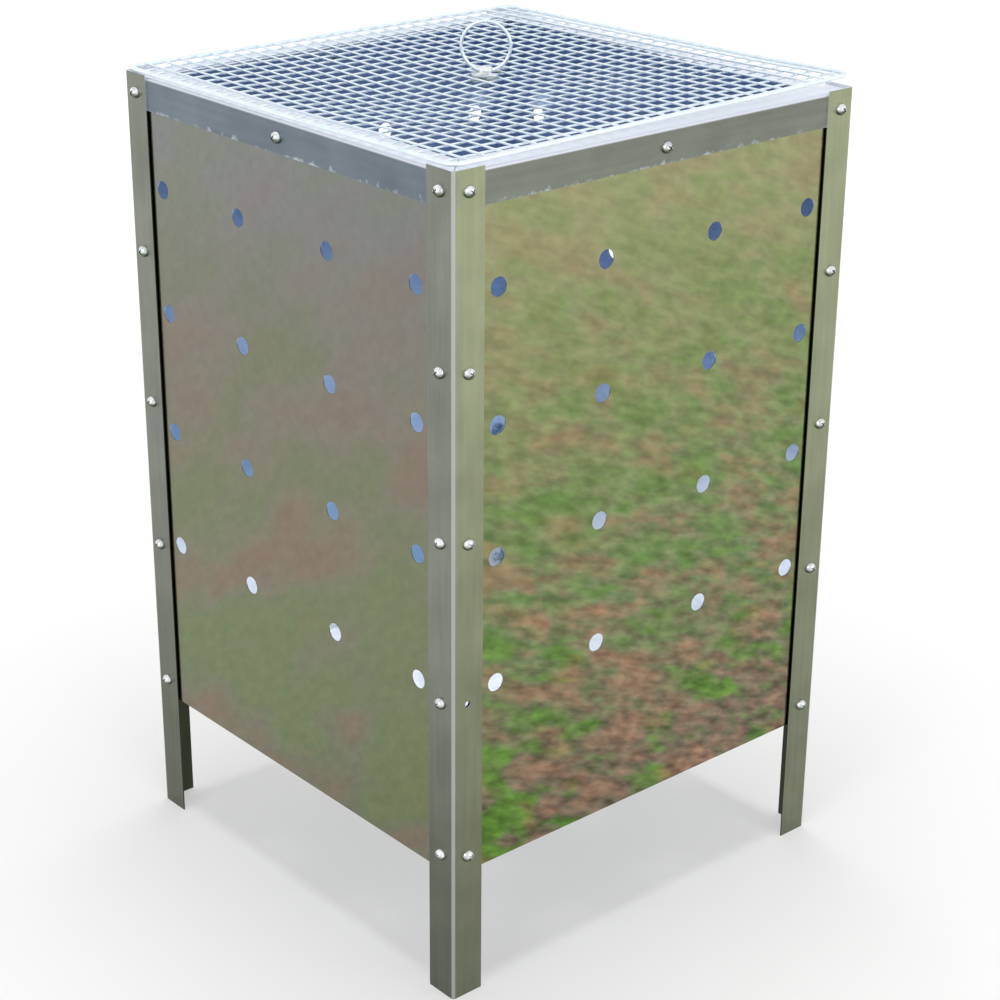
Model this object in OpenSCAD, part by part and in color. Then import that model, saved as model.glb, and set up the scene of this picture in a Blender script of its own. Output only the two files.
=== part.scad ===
// Square garden incinerator: a bin of perforated sheet on four angle legs, under a loose mesh lid.
// Millimetres, +Z up, the ground at z = 0. The front is -Y.

/* [Bin] */
// Width and depth over the corner legs
bin_width = 440; // [340:5:600]
// Height of the legs
bin_height = 720; // [560:5:900]
// Height of the panels' lower edge above the ground
ground_gap = 120; // [60:5:200]

/* [Sheet] */
// Sheet of the corner legs
leg_sheet = 1.2; // [0.8:0.1:2]
// Sheet of the top rails
rail_sheet = 1.2; // [0.8:0.1:2]
// Sheet of the side panels
panel_sheet = 0.6; // [0.4:0.1:1.2]
// Sheet of the base tray
tray_sheet = 0.6; // [0.4:0.1:1.2]
// Inside radius of every fold
fold_radius = 1.6; // [0.6:0.1:2.4]
// Gap left where two sheets meet at a corner
corner_gap = 0.4; // [0.2:0.1:1]

/* [Legs, rails and tray] */
// Width of each flange of a leg
leg_flange = 31; // [26:1:40]
// Width of a rail's level flange
rail_ledge = 30; // [26:1:40]
// Height of a rail's upright flange
rail_skirt = 28.5; // [26:0.5:40]
// How far the rails sit below the tops of the legs
rail_drop = 2; // [0:0.5:4]
// Height of the tray's upturned rim
tray_rim = 30; // [26:1:45]
// Square notch in each corner of the tray's blank
tray_notch = 6; // [4:0.5:9]

/* [Air holes] */
// Diameter of an air hole
vent_diameter = 16; // [10:0.5:22]
// Distance between rows, and from the middle columns to the outer ones
vent_pitch = 112; // [90:1:120]
// Distance between the two middle columns
vent_middle_gap = 122; // [80:1:130]
// Drop from the legs' tops to the top row
vent_drop = 97; // [70:1:140]
// Number of rows on a panel
vent_rows = 4; // [2:1:4]

/* [Bin screws] */
// Thread diameter
screw_diameter = 5; // [4:0.5:6]
// Length under the head
screw_length = 10; // [10:1:16]
// Diameter of the domed head
screw_head = 10.4; // [8:0.1:11]
// Height of the domed head
screw_head_height = 5.2; // [2.4:0.1:5.4]
// Width of the nut across its flats
nut_flats = 8; // [7:0.5:10]
// Height of the nut
nut_height = 4; // [3:0.1:4.5]
// Number of screws along a leg flange
screw_rows = 5; // [3:1:6]
// Distance from the legs' tops or the panel's lower edge to the nearest screw
screw_inset = 17; // [13:0.5:20]
// Row on the near leg's front flange that has no screw, from the top, or 0 for none
empty_row = 4; // [0:1:5]

/* [Lid] */
// Distance from the legs' outer faces in to the lid's edge
lid_inset = 0.5; // [0:0.5:4]
// Diameter of the border wire
border_wire = 4; // [3:0.5:6]
// Centre-line radius of the border's corners
border_corner = 12; // [8:0.5:14]
// Diameter of a mesh wire
mesh_wire = 2; // [1.5:0.1:3]
// Wanted distance between mesh wires, rounded to fill the border
mesh_pitch = 16.8; // [14:0.2:24]
// Air between the lid and the legs' tops
lid_seat_gap = 0.2; // [0.1:0.1:0.5]

/* [Ring and saddle] */
// Outer diameter of the ring
ring_outer = 45; // [38:1:60]
// Diameter of the ring's wire
ring_wire = 3; // [2:0.5:4]
// Air around the ring's wire in the saddle and over the mesh
ring_gap = 0.4; // [0.3:0.1:1]
// Length of the saddle's feet along the ring's wire
saddle_length = 22; // [14:1:24]
// Length of the arch over the ring's wire
arch_length = 10; // [6:1:12]
// Sheet of the saddle and of its backing plate
saddle_sheet = 1.2; // [0.8:0.1:1.6]
// Corner radius of the saddle's feet and of the backing plate
saddle_corner = 4; // [2:0.5:6]
// Thread diameter of the saddle's screws
saddle_screw = 4; // [3:0.5:4]
// Diameter of their heads
saddle_screw_head = 7; // [6:0.5:8]
// Height of their heads
saddle_screw_head_height = 2.4; // [1.6:0.1:3]
// Width of their nuts across the flats
saddle_nut_flats = 7; // [5.5:0.5:8]
// Height of their nuts
saddle_nut_height = 3.2; // [2.4:0.1:4]

/* [Fits] */
// Air around a screw in a sheet's hole
screw_clearance = 0.4; // [0.2:0.05:0.6]
// Air around a screw in its nut
thread_clearance = 0.05; // [0.02:0.01:0.1]
// How far a saddle screw shows past its nut
screw_tail = 1.5; // [0.5:0.5:3]

/* [Hidden] */
$fn = 64;
half = bin_width / 2;

// Distance from the axis out to each sheet's outer face
rail_face = half - leg_sheet;
panel_face = rail_face - rail_sheet;
tray_face = panel_face - panel_sheet;
tray_inside = tray_face - tray_sheet;
stack_depth = half - tray_inside;

// Heights of the rails, the panels and the screw rows, the rows from the top down
rail_top = bin_height - rail_drop;
panel_top = rail_top - rail_sheet - fold_radius;
screw_step = (bin_height - ground_gap - 2 * screw_inset) / (screw_rows - 1);
screw_heights = [for (row = [0 : screw_rows - 1]) bin_height - screw_inset - row * screw_step];
tray_screw_height = screw_heights[screw_rows - 1];

// Places across a panel
leg_screw = half - leg_flange / 2;
vent_columns = [for (side = [-1, 1], out = [0, 1]) side * (vent_middle_gap / 2 + out * vent_pitch)];
vent_heights = [for (row = [0 : vent_rows - 1]) bin_height - vent_drop - row * vent_pitch];

// The lid's wires lie in two layers that fill the border's height about its middle
lid_bottom = bin_height + lid_seat_gap;
border_height = lid_bottom + border_wire / 2;
border_half = half - lid_inset - border_wire / 2;
wire_half = border_half - border_wire / 2;
mesh_cells = 2 * round(border_half / mesh_pitch);
mesh_step = 2 * border_half / mesh_cells;
mesh_top = border_height + mesh_wire;
mesh_bottom = border_height - mesh_wire;

// A screw head's straight rim, as a share of its height
rim_share = 0.15;

// The ring turns about its lowest point, in a tunnel and between feet that clear its curved wire
ring_radius = (ring_outer - ring_wire) / 2;
ring_axis_height = mesh_top + ring_gap + ring_wire / 2;
function ring_reach(length) =
    ring_radius - sqrt(pow(ring_radius - ring_wire / 2, 2) - pow(length / 2, 2)) + ring_gap;
tunnel_radius = ring_reach(arch_length);
feet_gap = ring_reach(saddle_length);
arch_radius = tunnel_radius + saddle_sheet;

// The saddle's screws pass the first mesh cells along the diagonal that leave room for their heads
saddle_screw_room = arch_radius + saddle_screw_head / 2 + ring_gap;
saddle_cell = max(0, ceil(saddle_screw_room / (mesh_step * sqrt(2)) - 0.5));
saddle_screw_reach = (saddle_cell + 0.5) * mesh_step * sqrt(2);
saddle_reach = saddle_screw_reach + saddle_screw_head / 2 + saddle_sheet;
plate_bottom = mesh_bottom - saddle_sheet;
saddle_screw_end = plate_bottom - saddle_nut_height - screw_tail;

// Section of a folded angle: its outer corner at the origin, its flanges along +X and +Y
module angle_section(flange_x, flange_y, sheet) {
    bend = fold_radius + sheet;
    translate([bend, 0])
        square([flange_x - bend, sheet]);
    translate([0, bend])
        square([sheet, flange_y - bend]);
    translate([bend, bend])
        difference() {
            intersection() {
                circle(bend);
                translate([-bend, -bend])
                    square(bend);
            }
            circle(fold_radius);
        }
}

// Square outline with rounded corners, centred on the origin
module rounded_outline(size_x, size_y, corner) {
    square([size_x - 2 * corner, size_y], center = true);
    square([size_x, size_y - 2 * corner], center = true);
    for (x = [-1, 1], y = [-1, 1])
        translate([x * (size_x / 2 - corner), y * (size_y / 2 - corner)])
            circle(corner);
}

// Turns what points along +Z from a panel's plan so that it points in through the front at a height
module through_front(x, face, height) {
    translate([x, -face, height])
        rotate([-90, 0, 0])
            children();
}

// Drill through every sheet that lies over or under the face it starts on
module drill(diameter) {
    translate([0, 0, -stack_depth])
        cylinder(d = diameter, h = 3 * stack_depth);
}

module screw_drill() {
    drill(screw_diameter + 2 * screw_clearance);
}

// Screw hanging under its head: the head's flat side at z = 0, the shank up +Z
module screw(thread, length, head, head_height) {
    drop = head_height * (1 - rim_share);
    dome = (pow(head / 2, 2) + pow(drop, 2)) / (2 * drop);
    cylinder(d = thread, h = length);
    difference() {
        mirror([0, 0, 1])
            rotate_extrude()
                intersection() {
                    square([head / 2, head_height]);
                    translate([0, head_height - dome])
                        circle(dome, $fn = 200);
                }
        for (turn = [45, 135])
            rotate(turn)
                translate([0, 0, -head_height])
                    cube([head / 2, head / 9, head_height], center = true);
    }
}

module nut(thread, flats, height) {
    difference() {
        cylinder(d = flats / cos(30), h = height, $fn = 6);
        translate([0, 0, -height])
            cylinder(d = thread + 2 * thread_clearance, h = 3 * height);
    }
}

// Folded corner leg at the front left, drilled down both flanges
module leg() {
    color("silver")
        difference() {
            translate([-half, -half, 0])
                linear_extrude(bin_height)
                    angle_section(leg_flange, leg_flange, leg_sheet);
            for (height = screw_heights) {
                through_front(-leg_screw, half, height)
                    screw_drill();
                rotate(-90)
                    through_front(leg_screw, half, height)
                        screw_drill();
            }
        }
}

// Quarter of the plan that belongs to the front, a corner gap short of both diagonals
module front_quarter() {
    translate([0, -corner_gap])
        polygon([[0, 0], [bin_width, -bin_width], [-bin_width, -bin_width]]);
}

// Folded rail along the front of the rim, mitred where it meets the side rails
module rail() {
    rail_half = rail_face - fold_radius;
    color("lightsteelblue")
        difference() {
            intersection() {
                translate([-rail_half, -rail_face, rail_top])
                    rotate([0, 90, 0])
                        linear_extrude(2 * rail_half)
                            angle_section(rail_skirt, rail_ledge, rail_sheet);
                linear_extrude(bin_height)
                    front_quarter();
            }
            for (x = [-leg_screw, 0, leg_screw])
                through_front(x, rail_face, screw_heights[0])
                    screw_drill();
        }
}

// Flat front panel with its air holes and screw holes
module panel() {
    panel_half = tray_face - corner_gap;
    color("gainsboro")
        difference() {
            translate([-panel_half, -panel_face, ground_gap])
                cube([2 * panel_half, panel_sheet, panel_top - ground_gap]);
            for (x = vent_columns, height = vent_heights)
                through_front(x, panel_face, height)
                    drill(vent_diameter);
            for (x = [-leg_screw, leg_screw], height = screw_heights)
                through_front(x, panel_face, height)
                    screw_drill();
            through_front(0, panel_face, screw_heights[0])
                screw_drill();
        }
}

// One folded side of the base tray: the rim, its fold and a strip of the floor
module tray_side() {
    side_half = tray_face - tray_notch;
    translate([-side_half, -tray_face, ground_gap])
        rotate([90, 0, 90])
            linear_extrude(2 * side_half)
                angle_section(tray_notch + fold_radius, tray_rim, tray_sheet);
}

module base_tray() {
    floor_half = tray_face - tray_notch;
    color("darkgray")
        difference() {
            union() {
                translate([-floor_half, -floor_half, ground_gap])
                    cube([2 * floor_half, 2 * floor_half, tray_sheet]);
                for (turn = [0 : 90 : 270])
                    rotate(turn)
                        tray_side();
            }
            for (x = vent_columns, y = vent_columns)
                translate([x, y, ground_gap])
                    drill(vent_diameter);
            for (turn = [0 : 90 : 270], x = [-leg_screw, leg_screw])
                rotate(turn)
                    through_front(x, tray_face, tray_screw_height)
                        screw_drill();
        }
}

// Screws in one side: down both legs, then one in the middle of the rail
module side_screws(left_out) {
    color("white") {
        for (side = [-1, 1], row = [1 : screw_rows])
            if (side > 0 || row != left_out)
                through_front(side * leg_screw, half, screw_heights[row - 1])
                    screw(screw_diameter, screw_length, screw_head, screw_head_height);
        through_front(0, rail_face, screw_heights[0])
            screw(screw_diameter, screw_length, screw_head, screw_head_height);
    }
}

// The lowest nuts bear on the tray's rim and the others on the panel
function nut_face(row) = row == screw_rows ? tray_inside : tray_face;

// Nuts in one side, one behind each screw
module side_nuts(left_out) {
    color("dimgray") {
        for (side = [-1, 1], row = [1 : screw_rows])
            if (side > 0 || row != left_out)
                through_front(side * leg_screw, nut_face(row), screw_heights[row - 1])
                    nut(screw_diameter, nut_flats, nut_height);
        through_front(0, tray_face, screw_heights[0])
            nut(screw_diameter, nut_flats, nut_height);
    }
}

// Round wire bent into a square with rounded corners
module lid_border() {
    straight = border_half - border_corner;
    color("white")
        translate([0, 0, border_height])
            for (turn = [0 : 90 : 270])
                rotate(turn) {
                    translate([-straight, -border_half, 0])
                        rotate([0, 90, 0])
                            cylinder(d = border_wire, h = 2 * straight);
                    translate([straight, -straight, 0])
                        rotate(-90)
                            rotate_extrude(angle = 90)
                                translate([border_corner, 0])
                                    circle(d = border_wire);
                }
}

// One layer of mesh wires along X, each one butted on the border at both ends
module wire_layer() {
    for (wire = [1 : mesh_cells - 1])
        translate([-wire_half, wire * mesh_step - border_half, 0])
            rotate([0, 90, 0])
                cylinder(d = mesh_wire, h = 2 * wire_half);
}

module lid_cross_wires() {
    color("aliceblue")
        translate([0, 0, border_height - mesh_wire / 2])
            wire_layer();
}

module lid_long_wires() {
    color("lavender")
        translate([0, 0, border_height + mesh_wire / 2])
            rotate(90)
                wire_layer();
}

// Plan of the backing plate and of the saddle's outline, with the two screw holes
module saddle_plan() {
    difference() {
        rounded_outline(2 * saddle_reach, saddle_length, saddle_corner);
        for (side = [-1, 1])
            translate([side * saddle_screw_reach, 0])
                circle(d = saddle_screw + 2 * screw_clearance);
    }
}

// What is cut away between the saddle's feet, on both sides of the arch
module ring_slots() {
    for (side = [-1, 1])
        translate([0, side * (arch_length + saddle_length) / 2])
            square([2 * feet_gap, saddle_length], center = true);
}

// Section across the saddle: two flat feet and the arch over the ring's wire
module saddle_section() {
    axis_rise = ring_axis_height - mesh_top;
    difference() {
        union() {
            translate([-saddle_reach, 0])
                square([2 * saddle_reach, saddle_sheet]);
            translate([-arch_radius, 0])
                square([2 * arch_radius, axis_rise]);
            translate([0, axis_rise])
                circle(arch_radius);
        }
        translate([0, axis_rise])
            circle(tunnel_radius);
        translate([-tunnel_radius, -arch_radius])
            square([2 * tunnel_radius, arch_radius + axis_rise]);
        translate([-2 * saddle_reach, -2 * arch_radius])
            square([4 * saddle_reach, 2 * arch_radius]);
    }
}

// The saddle's section runs across the ring, which faces the near corner
module ring_saddle() {
    color("white")
        translate([0, 0, mesh_top])
            rotate(45)
                intersection() {
                    translate([0, saddle_length / 2, 0])
                        rotate([90, 0, 0])
                            linear_extrude(saddle_length)
                                saddle_section();
                    linear_extrude(2 * arch_radius + ring_wire)
                        difference() {
                            saddle_plan();
                            ring_slots();
                        }
                }
}

module saddle_backing_plate() {
    color("lightgray")
        translate([0, 0, plate_bottom])
            rotate(45)
                linear_extrude(saddle_sheet)
                    saddle_plan();
}

// Draws its child under each of the saddle's screw holes, with +Z of the child pointing down
module at_saddle_screws(height) {
    for (side = [-1, 1])
        rotate(45)
            translate([side * saddle_screw_reach, 0, height])
                rotate([180, 0, 0])
                    children();
}

module saddle_screws() {
    head_height = mesh_top + saddle_sheet;
    color("white")
        at_saddle_screws(head_height)
            screw(saddle_screw, head_height - saddle_screw_end, saddle_screw_head, saddle_screw_head_height);
}

module saddle_nuts() {
    color("dimgray")
        at_saddle_screws(plate_bottom)
            nut(saddle_screw, saddle_nut_flats, saddle_nut_height);
}

// Closed ring, upright in the saddle, turning about its wire's lowest point
module lifting_ring() {
    color("white")
        translate([0, 0, ring_axis_height + ring_radius])
            rotate([90, 0, -45])
                rotate_extrude()
                    translate([ring_radius, 0])
                        circle(d = ring_wire);
}

leg();  // front_left_leg
rotate(90) leg();  // front_right_leg
rotate(180) leg();  // back_right_leg
rotate(270) leg();  // back_left_leg
rail();  // front_rail
rotate(90) rail();  // right_rail
rotate(180) rail();  // back_rail
rotate(270) rail();  // left_rail
panel();  // front_panel
rotate(90) panel();  // right_panel
rotate(180) panel();  // back_panel
rotate(270) panel();  // left_panel
base_tray();
side_screws(empty_row);  // front_screws
rotate(90) side_screws(0);  // right_screws
rotate(180) side_screws(0);  // back_screws
rotate(270) side_screws(0);  // left_screws
side_nuts(empty_row);  // front_nuts
rotate(90) side_nuts(0);  // right_nuts
rotate(180) side_nuts(0);  // back_nuts
rotate(270) side_nuts(0);  // left_nuts
lid_border();
lid_cross_wires();
lid_long_wires();
ring_saddle();
saddle_backing_plate();
saddle_screws();
saddle_nuts();
lifting_ring();
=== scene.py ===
"""Looks of a square galvanised garden incinerator with a loose wire mesh lid."""
import math

import bpy
from mathutils import Euler, Matrix, Vector


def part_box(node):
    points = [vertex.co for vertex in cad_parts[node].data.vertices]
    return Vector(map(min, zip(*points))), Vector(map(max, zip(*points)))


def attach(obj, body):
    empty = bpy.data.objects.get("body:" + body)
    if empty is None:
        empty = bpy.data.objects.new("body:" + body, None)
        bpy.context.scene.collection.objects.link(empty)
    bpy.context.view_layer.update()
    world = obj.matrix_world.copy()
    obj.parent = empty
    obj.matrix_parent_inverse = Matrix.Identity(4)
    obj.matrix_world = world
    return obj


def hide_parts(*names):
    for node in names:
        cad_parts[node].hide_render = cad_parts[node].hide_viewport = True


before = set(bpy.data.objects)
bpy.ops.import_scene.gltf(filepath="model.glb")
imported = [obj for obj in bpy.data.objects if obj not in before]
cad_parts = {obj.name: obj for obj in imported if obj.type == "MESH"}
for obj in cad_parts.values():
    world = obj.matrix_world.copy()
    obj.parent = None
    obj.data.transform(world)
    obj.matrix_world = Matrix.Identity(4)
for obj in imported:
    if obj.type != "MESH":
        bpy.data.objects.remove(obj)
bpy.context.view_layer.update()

MM = 0.001

LEGS = ["front_left_leg", "front_right_leg", "back_right_leg", "back_left_leg"]
RAILS = ["front_rail", "right_rail", "back_rail", "left_rail"]
SCREWS = ["front_screws", "right_screws", "back_screws", "left_screws", "saddle_screws"]
NUTS = ["front_nuts", "right_nuts", "back_nuts", "left_nuts", "saddle_nuts"]
CLIPS = ["ring_saddle", "saddle_backing_plate"]

PANEL_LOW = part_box("front_panel")[0][2]
RAIL_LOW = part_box("front_rail")[0][2]
HALF_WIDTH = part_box("front_right_leg")[1][0]


# Materials

# Sizes of the patterns on the metal, in millimetres
PANEL_CLOUDS = 150
PANEL_FLECKS = 48
PANEL_LEAF_BLOTS = 70
PANEL_GRASS_STREAKS = 22
PANEL_SWAY = 180
PANEL_CRYSTALS = 7
TRAY_CRYSTALS = 9
STRIP_CLOUDS = 45
STRIP_CHIPS = 11
# Rolling marks are finer than this, and are drawn as coarse as they need to be to show
ROLLING_STREAKS = 5

# Squeezes the panels' patterns into streaks
STREAK_SHAPE = (1.0, 1.0, 0.4)
# Up to where the strips' painted reflection of the dark ground is full, and where it ends on faces to the
# sides and to the front and back
GROUND_REFLECTION_FULL = 60 * MM
SIDE_GROUND_REFLECTION_END = 420 * MM
FRONT_GROUND_REFLECTION_END = 700 * MM
# How near a fold the painted highlight starts and is full, and how high the worn edge of a rail reaches
FOLD_HIGHLIGHT_START = 2.8 * MM
FOLD_HIGHLIGHT_FULL = 1.8 * MM
WORN_EDGE = 10 * MM

# Brown of the painted reflection of fallen leaves on the panels
PAINTED_LEAF_REFLECTION = "#a5755f"
# Painted shade on the strips' inner faces, and the pale they keep at the rim
INNER_SHADE = "#3f4435"
PALE_RIM = "#e8ecf1"
# Painted sheen of the sky on faces that look up
PAINTED_SKY_SHEEN = "#e1e5ed"
# Painted highlight along the legs' outer folds
PAINTED_FOLD_HIGHLIGHT = "#c6cccb"
SCUFFED = "#c3cdd6"


def linear(code):
    """Linear colour of an sRGB hex code."""
    channels = [int(code[place:place + 2], 16) / 255 for place in (1, 3, 5)]
    return [c / 12.92 if c <= 0.04045 else ((c + 0.055) / 1.055) ** 2.4 for c in channels] + [1.0]


def per_metre(size_mm):
    """Texture scale at which one feature is that many millimetres across."""
    return 1 / (size_mm * MM)


def add(tree, kind, inputs=None, stops=(), **settings):
    """Adds a shader node. An input is a plain value or the socket that feeds it, and stops colour a ramp."""
    node = tree.nodes.new("ShaderNode" + kind)
    for name, value in settings.items():
        setattr(node, name, value)
    for place, (position, code) in enumerate(stops):
        elements = node.color_ramp.elements
        element = elements[place] if place < 2 else elements.new(position)
        element.position = position
        element.color = linear(code)
    for name, value in (inputs or {}).items():
        if isinstance(value, bpy.types.NodeSocket):
            tree.links.new(value, node.inputs[name])
        else:
            node.inputs[name].default_value = value
    return node


def blank(name):
    """New material, its empty tree and its coordinates."""
    material = bpy.data.materials.new(name)
    material.use_nodes = True
    tree = material.node_tree
    tree.nodes.clear()
    return material, tree, add(tree, "TexCoord")


def inward_faces(tree, place):
    """1 on the inner faces of upright sheets, which look towards the bin's axis, and 0 on the outer ones."""
    facing = add(tree, "VectorMath", {0: place.outputs["Object"], 1: place.outputs["Normal"]},
                 operation="DOT_PRODUCT").outputs["Value"]
    return add(tree, "Math", {0: facing, 1: 0.0}, operation="LESS_THAN").outputs["Value"]


def galvanised_panel(name, by_height, inside, lean, green, brown, fleck, slant):
    """Bright galvanised sheet: a blurred mirror that is never quite flat, plainer at the top, with a painted
    reflection of a lawn below in green and brown clouds and slanting streaks, most near the ground, with
    brown blots of painted reflected leaves and faint crystals. The inside is plain, bluer as a painted
    reflection of the sky, and pale low down as painted light from the tray."""
    material, tree, place = blank(name)
    here = place.outputs["Object"]
    height = add(tree, "SeparateXYZ", {"Vector": here}).outputs["Z"]
    up = add(tree, "MapRange", {"Value": height, "From Min": PANEL_LOW,
                                "From Max": RAIL_LOW}).outputs["Result"]
    colour = add(tree, "ValToRGB", {"Fac": up}, stops=by_height).outputs["Color"]
    # The painted lawn reflection is strongest low down and fades towards the top
    low = add(tree, "MapRange", {"Value": up, "From Max": 0.9, "To Min": 1.0,
                                 "To Max": 0.25}).outputs["Result"]

    slanted = add(tree, "Mapping", {"Vector": here, "Rotation": slant, "Scale": STREAK_SHAPE},
                  vector_type="TEXTURE").outputs["Vector"]
    clouds = add(tree, "TexNoise", {"Vector": slanted, "Scale": per_metre(PANEL_CLOUDS),
                                    "Detail": 1.0}).outputs["Fac"]
    flecks = add(tree, "TexNoise", {"Vector": slanted, "Scale": per_metre(PANEL_FLECKS), "Detail": 2.0,
                                    "Distortion": 0.3}).outputs["Fac"]
    mottle = add(tree, "Mix", {"Factor": fleck, "A": clouds, "B": flecks}).outputs["Result"]
    # Green and brown clouds of painted lawn reflection
    for tint, start, end in ((green, 0.46, 0.64), (brown, 0.52, 0.34)):
        amount = add(tree, "MapRange", {"Value": mottle, "From Min": start, "From Max": end},
                     interpolation_type="SMOOTHSTEP").outputs["Result"]
        amount = add(tree, "Math", {0: amount, 1: low}, operation="MULTIPLY").outputs["Value"]
        colour = add(tree, "Mix", {"Factor": amount, "A": colour, "B": linear(tint)},
                     data_type="RGBA").outputs["Result"]

    # Brown blots of painted reflection of fallen leaves, low down
    leaf_blots = add(tree, "TexNoise", {"Vector": slanted, "Scale": per_metre(PANEL_LEAF_BLOTS), "Detail": 1.0,
                                   "Distortion": 0.3}).outputs["Fac"]
    leaf_reflection = add(tree, "MapRange", {"Value": leaf_blots, "From Min": 0.52, "From Max": 0.78, "To Max": fleck},
               interpolation_type="SMOOTHSTEP").outputs["Result"]
    leaf_reflection = add(tree, "Math", {0: leaf_reflection, 1: low}, operation="MULTIPLY").outputs["Value"]
    colour = add(tree, "Mix", {"Factor": leaf_reflection, "A": colour, "B": linear(PAINTED_LEAF_REFLECTION)},
                 data_type="RGBA").outputs["Result"]

    # Fine slanting streaks of painted grass reflection, strongest low down
    streaks = add(tree, "TexNoise", {"Vector": slanted, "Scale": per_metre(PANEL_GRASS_STREAKS),
                                     "Detail": 2.0}).outputs["Fac"]
    grass_streaks = add(tree, "MapRange", {"Value": streaks, "From Min": 0.3, "From Max": 0.7, "To Min": 0.25,
                                      "To Max": 1.75}).outputs["Result"]
    contrast = add(tree, "Math", {0: low, 1: fleck}, operation="MULTIPLY").outputs["Value"]
    colour = add(tree, "Mix", {"Factor": contrast, "A": colour, "B": grass_streaks}, data_type="RGBA",
                 blend_type="MULTIPLY").outputs["Result"]

    # Inner faces take painted light: pale low down as if lit by the tray, blue above as a painted sky
    # reflection, the pale part leaning to one side
    inward = inward_faces(tree, place)
    leaning = add(tree, "VectorMath", {0: here, 1: (lean, 0.0, 1.0)},
                  operation="DOT_PRODUCT").outputs["Value"]
    within = add(tree, "MapRange", {"Value": leaning, "From Min": PANEL_LOW,
                                    "From Max": RAIL_LOW}).outputs["Result"]
    inner = add(tree, "ValToRGB", {"Fac": within}, stops=inside).outputs["Color"]
    colour = add(tree, "Mix", {"Factor": inward, "A": colour, "B": inner}, data_type="RGBA").outputs["Result"]

    crystals = add(tree, "TexVoronoi", {"Vector": here, "Scale": per_metre(PANEL_CRYSTALS)}).outputs["Color"]
    crystal = add(tree, "SeparateColor", {"Color": crystals}).outputs["Red"]
    shade = add(tree, "MapRange", {"Value": crystal, "To Min": 0.97, "To Max": 1.03}).outputs["Result"]
    colour = add(tree, "Mix", {"Factor": 1.0, "A": colour, "B": shade}, data_type="RGBA",
                 blend_type="MULTIPLY").outputs["Result"]

    mirror = add(tree, "MapRange", {"Value": inward, "To Min": 1.0, "To Max": 0.85}).outputs["Result"]
    gloss = add(tree, "MapRange", {"Value": mottle, "From Min": 0.3, "From Max": 0.7, "To Min": 0.26,
                                   "To Max": 0.18}).outputs["Result"]
    sway = add(tree, "TexNoise", {"Vector": here, "Scale": per_metre(PANEL_SWAY),
                                  "Detail": 1.0}).outputs["Fac"]
    waves = add(tree, "Bump", {"Height": sway, "Strength": 0.6, "Distance": 2 * MM}).outputs["Normal"]
    shader = add(tree, "BsdfPrincipled", {"Base Color": colour, "Metallic": mirror, "Roughness": gloss,
                                          "Normal": waves})
    add(tree, "OutputMaterial", {"Surface": shader.outputs["BSDF"]})
    return material


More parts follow.
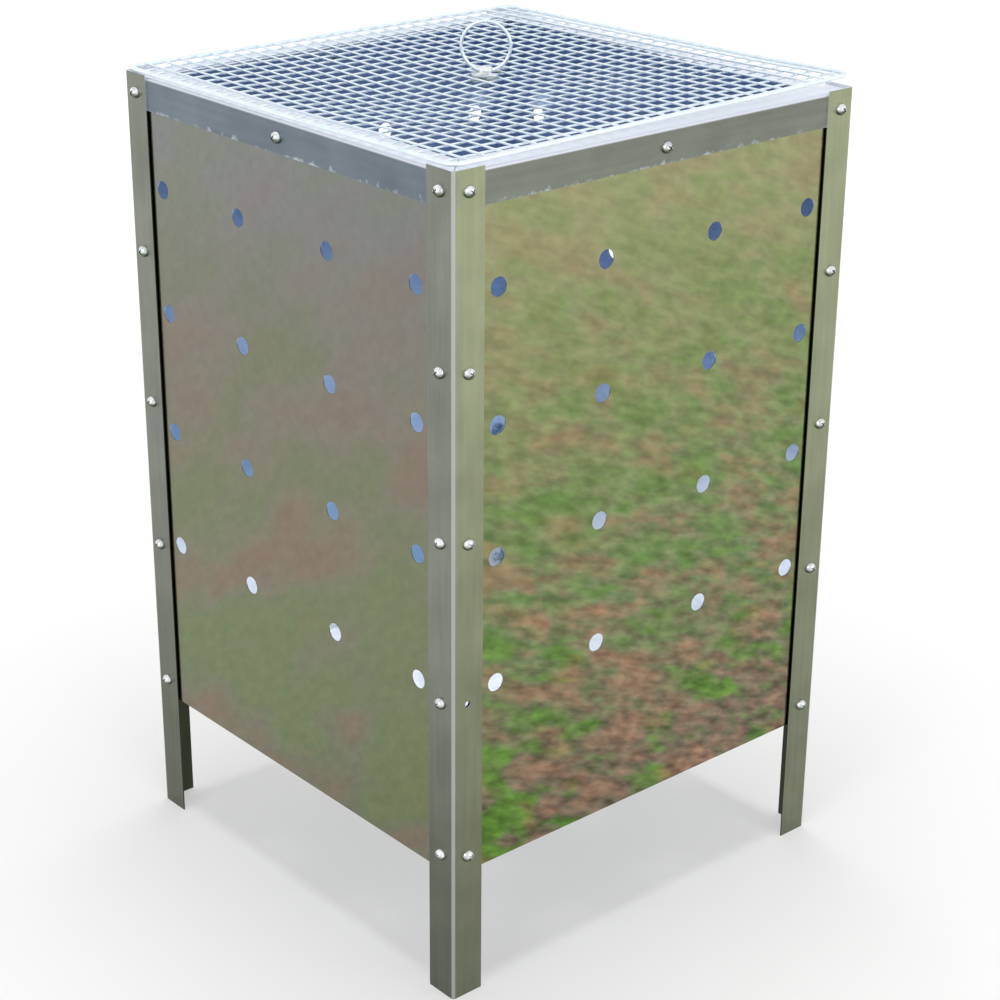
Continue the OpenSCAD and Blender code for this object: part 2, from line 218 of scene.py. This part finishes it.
def galvanised_angle(name, front, side, low, grain, edge_wear):
    """Folded galvanised strip: duller than the panels, streaked along its length by the rolling, with painted
    light on
    its faces: other colours on faces to the front and to the sides, a painted highlight along its folds, a
    painted sky sheen on level faces, a painted reflection of the dark ground low down and painted shade on
    its inner side, pale at the rim, and scuffed pale where it has an edge to wear."""
    material, tree, place = blank(name)
    here = place.outputs["Object"]
    normal = add(tree, "SeparateXYZ", {"Vector": place.outputs["Normal"]})
    height = add(tree, "SeparateXYZ", {"Vector": here}).outputs["Z"]
    # Faces that look to the front and back get another colour than faces to the sides: painted light, lit and
    # shaded copies of one strip
    to_front = add(tree, "Math", {0: normal.outputs["Y"]}, operation="ABSOLUTE").outputs["Value"]
    colour = add(tree, "Mix", {"Factor": to_front, "A": linear(side), "B": linear(front)},
                 data_type="RGBA").outputs["Result"]

    # Darker towards the ground: a painted reflection of the dark ground, deeper on side faces and reaching
    # higher on faces to the front and back
    reach = add(tree, "MapRange", {"Value": to_front, "To Min": SIDE_GROUND_REFLECTION_END,
                                   "To Max": FRONT_GROUND_REFLECTION_END}).outputs["Result"]
    ground_reflection_depth = add(tree, "MapRange", {"Value": to_front, "To Min": 0.85, "To Max": 0.66}).outputs["Result"]
    ground_reflection = add(tree, "MapRange", {"Value": height, "From Min": GROUND_REFLECTION_FULL, "From Max": reach, "To Min": ground_reflection_depth,
                                  "To Max": 0.0}, interpolation_type="SMOOTHSTEP").outputs["Result"]
    colour = add(tree, "Mix", {"Factor": ground_reflection, "A": colour, "B": linear(low)},
                 data_type="RGBA").outputs["Result"]

    # Inner faces take a painted shade, as under the bin and in the gaps behind the panels, but stay pale at
    # the rim
    at_rim = add(tree, "Math", {0: height, 1: RAIL_LOW}, operation="GREATER_THAN").outputs["Value"]
    inner = add(tree, "Mix", {"Factor": at_rim, "A": linear(INNER_SHADE), "B": linear(PALE_RIM)},
                data_type="RGBA").outputs["Result"]
    colour = add(tree, "Mix", {"Factor": inward_faces(tree, place), "A": colour, "B": inner},
                 data_type="RGBA").outputs["Result"]

    drawn = add(tree, "Mapping", {"Vector": here, "Scale": grain}).outputs["Vector"]
    streaks = add(tree, "TexNoise", {"Vector": drawn, "Scale": per_metre(ROLLING_STREAKS),
                                     "Detail": 3.0}).outputs["Fac"]
    clouds = add(tree, "TexNoise", {"Vector": here, "Scale": per_metre(STRIP_CLOUDS),
                                    "Detail": 4.0}).outputs["Fac"]
    wear = add(tree, "Mix", {"Factor": 0.6, "A": streaks, "B": clouds}).outputs["Result"]
    shade = add(tree, "MapRange", {"Value": wear, "From Min": 0.32, "From Max": 0.68, "To Min": 0.84,
                                   "To Max": 1.14}).outputs["Result"]
    colour = add(tree, "Mix", {"Factor": 1.0, "A": colour, "B": shade}, data_type="RGBA",
                 blend_type="MULTIPLY").outputs["Result"]

    # Faces that look up are paler: a painted sheen of the sky
    level = add(tree, "MapRange", {"Value": normal.outputs["Z"], "From Min": 0.05,
                                   "From Max": 0.45}).outputs["Result"]
    colour = add(tree, "Mix", {"Factor": level, "A": colour, "B": linear(PAINTED_SKY_SHEEN)},
                 data_type="RGBA").outputs["Result"]

    # A painted highlight along the outer fold of each leg
    outward = add(tree, "VectorMath", {0: here}, operation="ABSOLUTE").outputs["Vector"]
    to_fold = add(tree, "VectorMath", {0: outward, 1: (1.0, 1.0, 0.0)},
                  operation="DOT_PRODUCT").outputs["Value"]
    fold_highlight = add(tree, "MapRange", {"Value": to_fold, "From Min": 2 * HALF_WIDTH - FOLD_HIGHLIGHT_START,
                                     "From Max": 2 * HALF_WIDTH - FOLD_HIGHLIGHT_FULL,
                                     "To Max": 0.6}).outputs["Result"]
    colour = add(tree, "Mix", {"Factor": fold_highlight, "A": colour, "B": linear(PAINTED_FOLD_HIGHLIGHT)},
                 data_type="RGBA").outputs["Result"]

    chips = add(tree, "TexNoise", {"Vector": here, "Scale": per_metre(STRIP_CHIPS), "Detail": 6.0,
                                   "Roughness": 0.7}).outputs["Fac"]
    edge = add(tree, "MapRange", {"Value": height, "From Min": RAIL_LOW, "From Max": RAIL_LOW + WORN_EDGE,
                                  "To Min": edge_wear, "To Max": 0.0}).outputs["Result"]
    chance = add(tree, "Math", {0: chips, 1: edge}, operation="ADD").outputs["Value"]
    scuff = add(tree, "MapRange", {"Value": chance, "From Min": 0.74, "From Max": 0.86,
                                   "To Max": 0.7}).outputs["Result"]
    colour = add(tree, "Mix", {"Factor": scuff, "A": colour, "B": linear(SCUFFED)},
                 data_type="RGBA").outputs["Result"]

    gloss = add(tree, "MapRange", {"Value": wear, "To Min": 0.42, "To Max": 0.28}).outputs["Result"]
    rolled = add(tree, "Bump", {"Height": streaks, "Strength": 0.08, "Distance": 0.1 * MM}).outputs["Normal"]
    shader = add(tree, "BsdfPrincipled", {"Base Color": colour, "Metallic": 0.9, "Roughness": gloss,
                                          "Normal": rolled})
    add(tree, "OutputMaterial", {"Surface": shader.outputs["BSDF"]})
    return material


def galvanised_tray(name, dull, bright):
    """Clean galvanised sheet of the tray, pale and dull with a crystal pattern."""
    material, tree, place = blank(name)
    crystals = add(tree, "TexVoronoi", {"Vector": place.outputs["Object"],
                                        "Scale": per_metre(TRAY_CRYSTALS)}).outputs["Color"]
    crystal = add(tree, "SeparateColor", {"Color": crystals}).outputs["Green"]
    colour = add(tree, "ValToRGB", {"Fac": crystal}, stops=[(0.0, dull), (1.0, bright)]).outputs["Color"]
    gloss = add(tree, "MapRange", {"Value": crystal, "To Min": 0.35, "To Max": 0.5}).outputs["Result"]
    shader = add(tree, "BsdfPrincipled", {"Base Color": colour, "Metallic": 0.1, "Roughness": gloss})
    add(tree, "OutputMaterial", {"Surface": shader.outputs["BSDF"]})
    return material


def zinc_plate(name, bright, dull, underside_shade, roughness, grain_mm):
    """Electroplated zinc: bright and bluish white, a little blotched where it has been handled, and a painted
    shade on the side that faces down."""
    material, tree, place = blank(name)
    blotch = add(tree, "TexNoise", {"Vector": place.outputs["Object"], "Scale": per_metre(grain_mm),
                                    "Detail": 4.0}).outputs["Fac"]
    clean = add(tree, "ValToRGB", {"Fac": blotch}, stops=[(0.36, dull), (0.58, bright)]).outputs["Color"]
    # The side that faces down takes a painted shade, dark olive on the screw heads
    facing = add(tree, "SeparateXYZ", {"Vector": place.outputs["Normal"]}).outputs["Z"]
    down = add(tree, "MapRange", {"Value": facing, "From Min": 0.25, "From Max": -0.45},
               interpolation_type="SMOOTHSTEP").outputs["Result"]
    colour = add(tree, "Mix", {"Factor": down, "A": clean, "B": linear(underside_shade)},
                 data_type="RGBA").outputs["Result"]
    gloss = add(tree, "MapRange", {"Value": blotch, "To Min": roughness + 0.08,
                                   "To Max": roughness - 0.06}).outputs["Result"]
    grained = add(tree, "Bump", {"Height": blotch, "Strength": 0.15, "Distance": 0.1 * MM}).outputs["Normal"]
    shader = add(tree, "BsdfPrincipled", {"Base Color": colour, "Metallic": 1.0, "Roughness": gloss,
                                          "Normal": grained})
    add(tree, "OutputMaterial", {"Surface": shader.outputs["BSDF"]})
    return material


def dress(names, material):
    """Gives CAD nodes their material."""
    for name in names:
        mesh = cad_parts[name].data
        mesh.materials.clear()
        mesh.materials.append(material)


# Stretch of the rolling streaks along upright and level strips
UPRIGHT_GRAIN = (1.0, 1.0, 0.05)
LEVEL_GRAIN = (0.05, 0.05, 1.0)
# Colours of the panels from the lower edge up, with a painted reflection of a lawn in them
OLIVE_SHEET_AND_REFLECTION = [(0.08, "#756c5b"), (0.4, "#74845b"), (0.7, "#878f65"), (0.95, "#92956f")]
GREY_SHEET_AND_REFLECTION = [(0.08, "#787966"), (0.4, "#7d7c69"), (0.7, "#827e73"), (0.95, "#7e7f7d")]
# Their inside from the lower edge up, as painted light: pale low down as if lit by the tray and blue above as
# a painted reflection of the sky, and how steeply its pale part slopes down to the right
OLIVE_INSIDE_PAINTED_LIGHT = [(0.31, "#f4f8fd"), (0.56, "#b9cdea")]
GREY_INSIDE_PAINTED_LIGHT = [(0.05, "#f4f8fd"), (0.18, "#94b1d4"), (0.32, "#98b4d8"), (0.45, "#b9cdea")]
OLIVE_LEAN = 0.0
GREY_LEAN = 0.6
# Turns that lay the panels' streaks along their slant
OLIVE_SLANT = (0.0, 0.38, 0.0)
GREY_SLANT = (-0.6, 0.0, 0.0)
# What the worn lower edge adds to the chance of a scuff, and so little that the legs show none
RAIL_WEAR = 0.24
LEG_WEAR = -1.0

# The panels' green and brown are the colours of their painted lawn reflection
olive_sheet = galvanised_panel("galvanised_sheet_olive", OLIVE_SHEET_AND_REFLECTION, OLIVE_INSIDE_PAINTED_LIGHT, OLIVE_LEAN,
                               green="#5b8535", brown="#95755f", fleck=0.65, slant=OLIVE_SLANT)
grey_sheet = galvanised_panel("galvanised_sheet_grey", GREY_SHEET_AND_REFLECTION, GREY_INSIDE_PAINTED_LIGHT, GREY_LEAN,
                              green="#707e58", brown="#867162", fleck=0.1, slant=GREY_SLANT)
# front and side are one strip's colours under painted light on its two kinds of face; low is the painted
# reflection of the dark ground
leg_strip = galvanised_angle("galvanised_leg_strip", front="#9aa081", side="#82867c", low="#5e6254",
                             grain=UPRIGHT_GRAIN, edge_wear=LEG_WEAR)
rail_strip = galvanised_angle("galvanised_rail_strip", front="#7b8177", side="#707b84", low="#707b84",
                              grain=LEVEL_GRAIN, edge_wear=RAIL_WEAR)
tray_sheet = galvanised_tray("galvanised_tray_sheet", dull="#e3e9ef", bright="#f2f5f8")
zinc_wire = zinc_plate("zinc_plated_wire", bright="#f3fcff", dull="#e6f3fb", underside_shade="#eaf2fa",
                       roughness=0.4, grain_mm=9)
zinc_screw = zinc_plate("zinc_plated_screw", bright="#eef1f3", dull="#c8cdce", underside_shade="#5c6853",
                        roughness=0.2, grain_mm=4)
zinc_nut = zinc_plate("zinc_plated_nut", bright="#eef4fa", dull="#d5dfe9", underside_shade="#b4c2d2",
                      roughness=0.32, grain_mm=4)
zinc_clip = zinc_plate("zinc_plated_clip", bright="#f6f8f9", dull="#e6ebee", underside_shade="#ccd3d8",
                       roughness=0.3, grain_mm=6)

dress(["front_panel", "right_panel"], olive_sheet)
dress(["left_panel", "back_panel"], grey_sheet)
dress(LEGS, leg_strip)
dress(RAILS, rail_strip)
dress(["base_tray"], tray_sheet)
dress(SCREWS, zinc_screw)
dress(NUTS, zinc_nut)
dress(CLIPS, zinc_clip)
dress(["lifting_ring"], zinc_wire)


# The lid's wires, sprung out of flat as thin mesh is

X_AXIS = 0
Y_AXIS = 1
QUARTER_TURN = math.pi / 2

MESH_WIRES = 25
WIRE_SIDES = 10
WIRE_CUTS = 51
BORDER_CUTS = 39
BORDER_ROUNDNESS = 4
CORNER_RADIUS = 12 * MM
CORNER_STEPS = 7
SMOOTH_ANGLE = math.radians(60)

# Where the lid is pulled out of flat, how far round that and how far up, in millimetres. It sags, most on the
# left, with a shallow rise in front of the middle and one behind it, and lifts towards the right end of its
# front edge, more at that corner.
LID_PULLS = [
    ((-40, -10), 220, -8.3),
    ((-20, -78), 130, 3.4),
    ((-20, 55), 130, 3.3),
    ((180, -300), 600, 6.5),
    ((217, -217), 120, 2),
]
# The saddle's plate holds the lid's middle, less and less out to this distance
LID_MIDDLE = (0, 0)
SADDLE_HOLD = 70
# The cage that bends the lid: points along each side, and depth in thicknesses of the border wire
CAGE_POINTS = 13
CAGE_DEPTH = 10


def deselect():
    """Clears the selection of objects."""
    bpy.ops.object.select_all(action="DESELECT")


def settle(name):
    """Names the active object and moves its place into its mesh."""
    piece = bpy.context.active_object
    piece.name = name
    bpy.ops.object.transform_apply(location=True, rotation=True, scale=True)
    return piece


def apply(piece, kind, **settings):
    """Adds a modifier and applies it."""
    modifier = piece.modifiers.new(kind.title(), kind)
    for name, value in settings.items():
        setattr(modifier, name, value)
    bpy.context.view_layer.objects.active = piece
    bpy.ops.object.modifier_apply(modifier=modifier.name)


def wire_layer(name, node, along):
    """One layer of mesh wires: a cylinder cut along its length, then repeated across the lid."""
    low, high = (Vector(corner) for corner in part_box(node))
    across = Y_AXIS if along == X_AXIS else X_AXIS
    radius = (high.z - low.z) / 2
    step = Vector((0, 0, 0))
    step[across] = (high[across] - low[across] - 2 * radius) / (MESH_WIRES - 1)
    start = (low + high) / 2
    start[across] = low[across] + radius
    turn = (0, QUARTER_TURN, 0) if along == X_AXIS else (QUARTER_TURN, 0, 0)
    deselect()
    bpy.ops.mesh.primitive_cylinder_add(vertices=WIRE_SIDES, radius=radius, depth=high[along] - low[along],
                                        location=start, rotation=turn)
    piece = settle(name)
    bpy.ops.object.mode_set(mode="EDIT")
    bpy.ops.mesh.select_mode(type="EDGE")
    bpy.ops.mesh.select_all(action="DESELECT")
    bpy.ops.object.mode_set(mode="OBJECT")
    for edge in piece.data.edges:
        ends = [piece.data.vertices[v].co[along] for v in edge.vertices]
        edge.select = abs(ends[0] - ends[1]) > radius
    bpy.ops.object.mode_set(mode="EDIT")
    bpy.ops.mesh.subdivide(number_cuts=WIRE_CUTS)
    bpy.ops.object.mode_set(mode="OBJECT")
    apply(piece, "ARRAY", count=MESH_WIRES, use_relative_offset=False, use_constant_offset=True,
          constant_offset_displace=step)
    return piece


def border_loop(name, node):
    """The border wire: a square of edges with bevelled corners, made a round tube."""
    low, high = (Vector(corner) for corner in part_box(node))
    radius = (high.z - low.z) / 2
    deselect()
    bpy.ops.mesh.primitive_plane_add(size=high.x - low.x - 2 * radius, location=(low + high) / 2)
    piece = settle(name)
    bpy.ops.object.mode_set(mode="EDIT")
    bpy.ops.mesh.select_all(action="SELECT")
    bpy.ops.mesh.delete(type="ONLY_FACE")
    bpy.ops.mesh.select_all(action="SELECT")
    bpy.ops.mesh.subdivide(number_cuts=BORDER_CUTS)
    bpy.ops.mesh.select_all(action="DESELECT")
    bpy.ops.object.mode_set(mode="OBJECT")
    for vertex in piece.data.vertices:
        vertex.select = min(abs(vertex.co.x), abs(vertex.co.y)) > high.x - 2 * radius
    bpy.ops.object.mode_set(mode="EDIT")
    bpy.ops.mesh.select_mode(type="VERT")
    bpy.ops.mesh.bevel(offset=CORNER_RADIUS, segments=CORNER_STEPS, affect="VERTICES", clamp_overlap=False)
    bpy.ops.object.mode_set(mode="OBJECT")
    bpy.ops.object.convert(target="CURVE")
    curve = bpy.context.active_object.data
    curve.bevel_depth = radius
    curve.bevel_resolution = BORDER_ROUNDNESS
    bpy.ops.object.convert(target="MESH")
    return bpy.context.active_object


def pulled(spot, centre, reach):
    """Share of a pull that is felt at a spot, smoothly from 1 at its centre to 0 at its reach."""
    out = min(math.dist(spot, centre) / reach, 1)
    return (1 - out) ** 2 * (1 + 2 * out)


def free_rise(spot):
    """How far the lid would rise at a spot if nothing held its middle, in millimetres."""
    return sum(rise * pulled(spot, centre, reach) for centre, reach, rise in LID_PULLS)


def spring_out(pieces, node):
    """Bends pieces together with a lattice over the lid, then takes the lattice away."""
    low, high = (Vector(corner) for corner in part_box(node))
    deselect()
    bpy.ops.object.add(type="LATTICE", location=(low + high) / 2)
    cage = bpy.context.active_object
    cage.scale = (high.x - low.x, high.y - low.y, CAGE_DEPTH * (high.z - low.z))
    cage.data.points_u = CAGE_POINTS
    cage.data.points_v = CAGE_POINTS
    cage.data.points_w = 2
    for axis in "uvw":
        setattr(cage.data, "interpolation_type_" + axis, "KEY_CATMULL_ROM")
    for point in cage.data.points:
        spot = (point.co.x * cage.scale.x / MM, point.co.y * cage.scale.y / MM)
        rise = free_rise(spot) - free_rise(LID_MIDDLE) * pulled(spot, LID_MIDDLE, SADDLE_HOLD)
        point.co_deform.z += rise * MM / cage.scale.z
    bpy.context.view_layer.update()
    for piece in pieces:
        apply(piece, "LATTICE", object=cage)
    bpy.data.objects.remove(cage)


lid_wires = {
    "lid_border": border_loop("lid_border_wire", "lid_border"),
    "lid_cross_wires": wire_layer("mesh_cross_wires", "lid_cross_wires", along=X_AXIS),
    "lid_long_wires": wire_layer("mesh_long_wires", "lid_long_wires", along=Y_AXIS),
}
spring_out(lid_wires.values(), "lid_border")
for node, piece in lid_wires.items():
    deselect()
    piece.select_set(True)
    bpy.context.view_layer.objects.active = piece
    bpy.ops.object.shade_smooth_by_angle(angle=SMOOTH_ANGLE)
    piece.data.materials.clear()
    piece.data.materials.append(zinc_wire)
    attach(piece, "lid")
    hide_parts(node)


# Camera at the photograph's view, with angles in degrees

CAMERA_PLACE = Vector((-1.2492, -1.4531, 1.1459))
CAMERA_HEADING = -41.14
CAMERA_PITCH = -23.07
CAMERA_ROLL = 0.49
CAMERA_FOCAL = 81.66
CAMERA_SENSOR = 36.0

scene = bpy.context.scene
camera_data = bpy.data.cameras.new("camera")
camera_data.sensor_width = CAMERA_SENSOR
camera_data.lens = CAMERA_FOCAL
camera = bpy.data.objects.new("camera", camera_data)
scene.collection.objects.link(camera)
aim = Euler((math.radians(90 + CAMERA_PITCH), 0, math.radians(CAMERA_HEADING))).to_matrix().to_4x4()
roll = Matrix.Rotation(math.radians(CAMERA_ROLL), 4, "Z")
camera.matrix_world = Matrix.Translation(CAMERA_PLACE) @ aim @ roll
scene.camera = camera


# Studio: a pale floor, a white surround and soft lamps

WHITE = linear("#ffffff")
PAPER = linear("#b4b4b4")
FLOOR_SIZE = 60.0
# How far from the middle the floor is near and far, and its own glow there where it is seen
FLOOR_NEAR = 0.6
FLOOR_FAR = 3.0
NEAR_GLOW = 0.42
FAR_GLOW = 0.9
# Strength of the surround as light, and where it is seen
SURROUND_LIGHT = 0.4
SURROUND_SEEN = 1.0
# What the lamps face
MIDDLE = (0, 0, 0.4)
RIM = (0, 0, 0.72)


def seen_rays(tree):
    """1 on rays that the camera sees, also in a mirror or through something clear, and 0 on rays of light."""
    path = add(tree, "LightPath")
    seen = path.outputs["Is Camera Ray"]
    for ray in ("Is Glossy Ray", "Is Transmission Ray"):
        seen = add(tree, "Math", {0: seen, 1: path.outputs[ray]}, operation="MAXIMUM").outputs["Value"]
    return seen


def paper_floor(name):
    """White paper: matt, a little grey in the light, and paler with distance until it meets the surround."""
    material, tree, place = blank(name)
    away = add(tree, "VectorMath", {0: place.outputs["Object"]}, operation="LENGTH").outputs["Value"]
    paler = add(tree, "MapRange", {"Value": away, "From Min": FLOOR_NEAR, "From Max": FLOOR_FAR,
                                   "To Min": NEAR_GLOW, "To Max": FAR_GLOW}).outputs["Result"]
    glow = add(tree, "Math", {0: seen_rays(tree), 1: paler}, operation="MULTIPLY").outputs["Value"]
    shader = add(tree, "BsdfPrincipled", {"Base Color": PAPER, "Roughness": 0.9, "Emission Color": WHITE,
                                          "Emission Strength": glow})
    add(tree, "OutputMaterial", {"Surface": shader.outputs["BSDF"]})
    return material


def softbox(name, place, target, size, watts):
    """Square area lamp that faces a target."""
    lamp = bpy.data.lights.new(name, "AREA")
    lamp.size = size
    lamp.energy = watts
    box = bpy.data.objects.new(name, lamp)
    box.location = place
    box.rotation_euler = (Vector(target) - Vector(place)).to_track_quat("-Z", "Y").to_euler()
    scene.collection.objects.link(box)
    return box


deselect()
bpy.ops.mesh.primitive_plane_add(size=FLOOR_SIZE, location=(0, 0, 0))
floor = settle("floor")
floor.data.materials.append(paper_floor("white_paper_floor"))

world = bpy.data.worlds.new("studio")
world.use_nodes = True
scene.world = world
surround = world.node_tree
surround.nodes.clear()
strength = add(surround, "MapRange", {"Value": seen_rays(surround), "To Min": SURROUND_LIGHT,
                                      "To Max": SURROUND_SEEN}).outputs["Result"]
backdrop = add(surround, "Background", {"Color": WHITE, "Strength": strength})
add(surround, "OutputWorld", {"Surface": backdrop.outputs["Background"]})

top = softbox("top_softbox", place=(0, 0, 1.55), target=RIM, size=0.8, watts=28)
back = softbox("back_softbox", place=(1.9, 2.3, 2.0), target=RIM, size=2.4, watts=22)
softbox("left_softbox", place=(-2.6, -0.6, 1.5), target=MIDDLE, size=1.5, watts=10)
softbox("front_softbox", place=(0.6, -2.8, 1.5), target=MIDDLE, size=1.5, watts=12)
# The top and back lamps light the inside through the mesh, and leave no glints on the wires
top.visible_glossy = False
back.visible_glossy = False

scene.view_settings.view_transform = "Standard"
